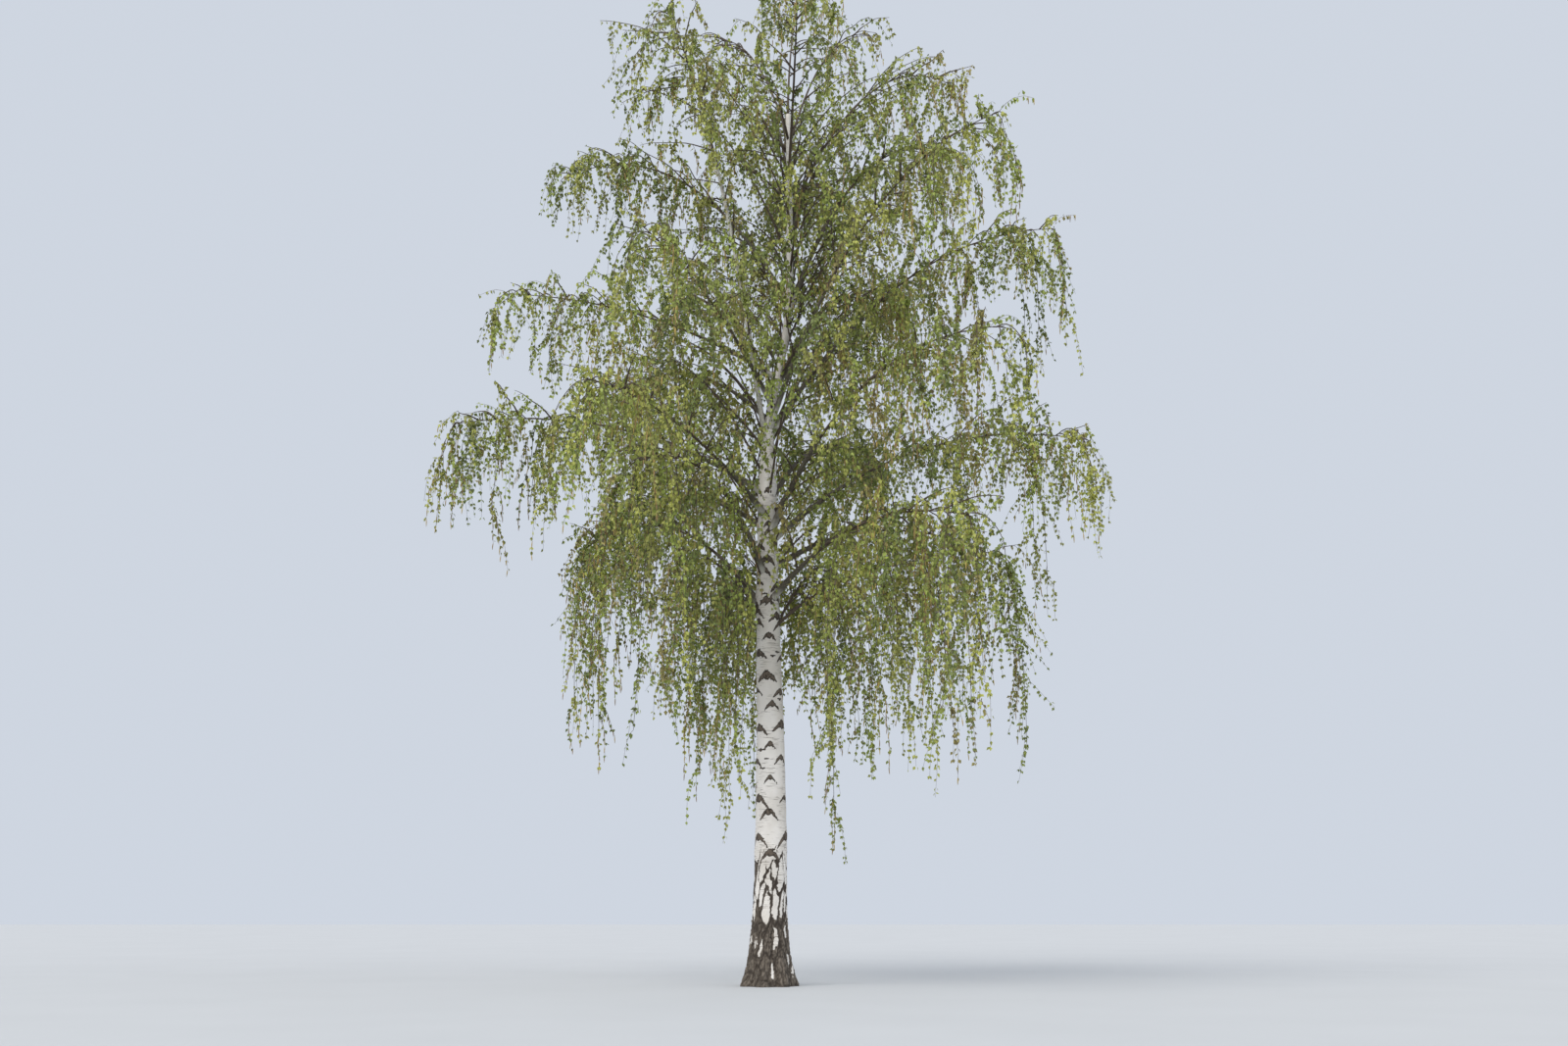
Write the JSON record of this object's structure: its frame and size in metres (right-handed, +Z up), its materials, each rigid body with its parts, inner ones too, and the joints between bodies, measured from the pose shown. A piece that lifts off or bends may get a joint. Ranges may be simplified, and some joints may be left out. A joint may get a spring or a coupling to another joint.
{
  "type": "silver birch tree",
  "caption": "Mature silver birch in spring leaf, with a white trunk, dark diamond scars, a flared foot, rising boughs and weeping curtains of fine twigs with small leaves and catkins.",
  "frame": {"origin": "middle of the flat cut under the trunk, at ground level", "axes": "+Z up the trunk, +X to the viewer's right, +Y away from the viewer"},
  "size_m": [7.4445, 6.7744, 11.2],
  "materials": {
    "trunk_bark": "matte",
    "bough_bark": "matte",
    "foliage": "matte"
  },
  "bodies": {
    "root": {"trunk": "trunk_bark", "bough_low_1": "bough_bark", "foliage_low_1": "foliage", "bough_low_2": "bough_bark", "foliage_low_2": "foliage", "bough_low_3": "bough_bark", "foliage_low_3": "foliage", "bough_low_4": "bough_bark", "foliage_low_4": "foliage", "bough_low_5": "bough_bark", "foliage_low_5": "foliage", "foliage_low_inner_1": "foliage", "foliage_low_inner_3": "foliage", "foliage_low_inner_4": "foliage", "foliage_low_inner_5": "foliage", "bough_broad_1": "bough_bark", "foliage_broad_1": "foliage", "bough_broad_2": "bough_bark", "foliage_broad_2": "foliage", "bough_broad_3": "bough_bark", "foliage_broad_3": "foliage", "bough_broad_4": "bough_bark", "foliage_broad_4": "foliage", "bough_broad_5": "bough_bark", "foliage_broad_5": "foliage", "bough_broad_6": "bough_bark", "foliage_broad_6": "foliage", "bough_middle_1": "bough_bark", "foliage_middle_1": "foliage", "bough_middle_2": "bough_bark", "foliage_middle_2": "foliage", "bough_middle_3": "bough_bark", "foliage_middle_3": "foliage", "bough_middle_4": "bough_bark", "foliage_middle_4": "foliage", "bough_middle_5": "bough_bark", "foliage_middle_5": "foliage", "bough_middle_6": "bough_bark", "foliage_middle_6": "foliage", "foliage_middle_inner_1": "foliage", "foliage_middle_inner_3": "foliage", "bough_high_1": "bough_bark", "foliage_high_1": "foliage", "bough_high_2": "bough_bark", "foliage_high_2": "foliage", "bough_high_3": "bough_bark", "foliage_high_3": "foliage", "foliage_high_inner_1": "foliage", "foliage_high_inner_2": "foliage", "foliage_high_inner_4": "foliage", "bough_leader_1": "bough_bark", "foliage_leader_1": "foliage", "foliage_crown_1": "foliage", "foliage_crown_2": "foliage", "foliage_crown_4": "foliage", "foliage_spire_1": "foliage", "foliage_spire_2": "foliage", "foliage_top": "foliage"}
  },
  "joints": []
}
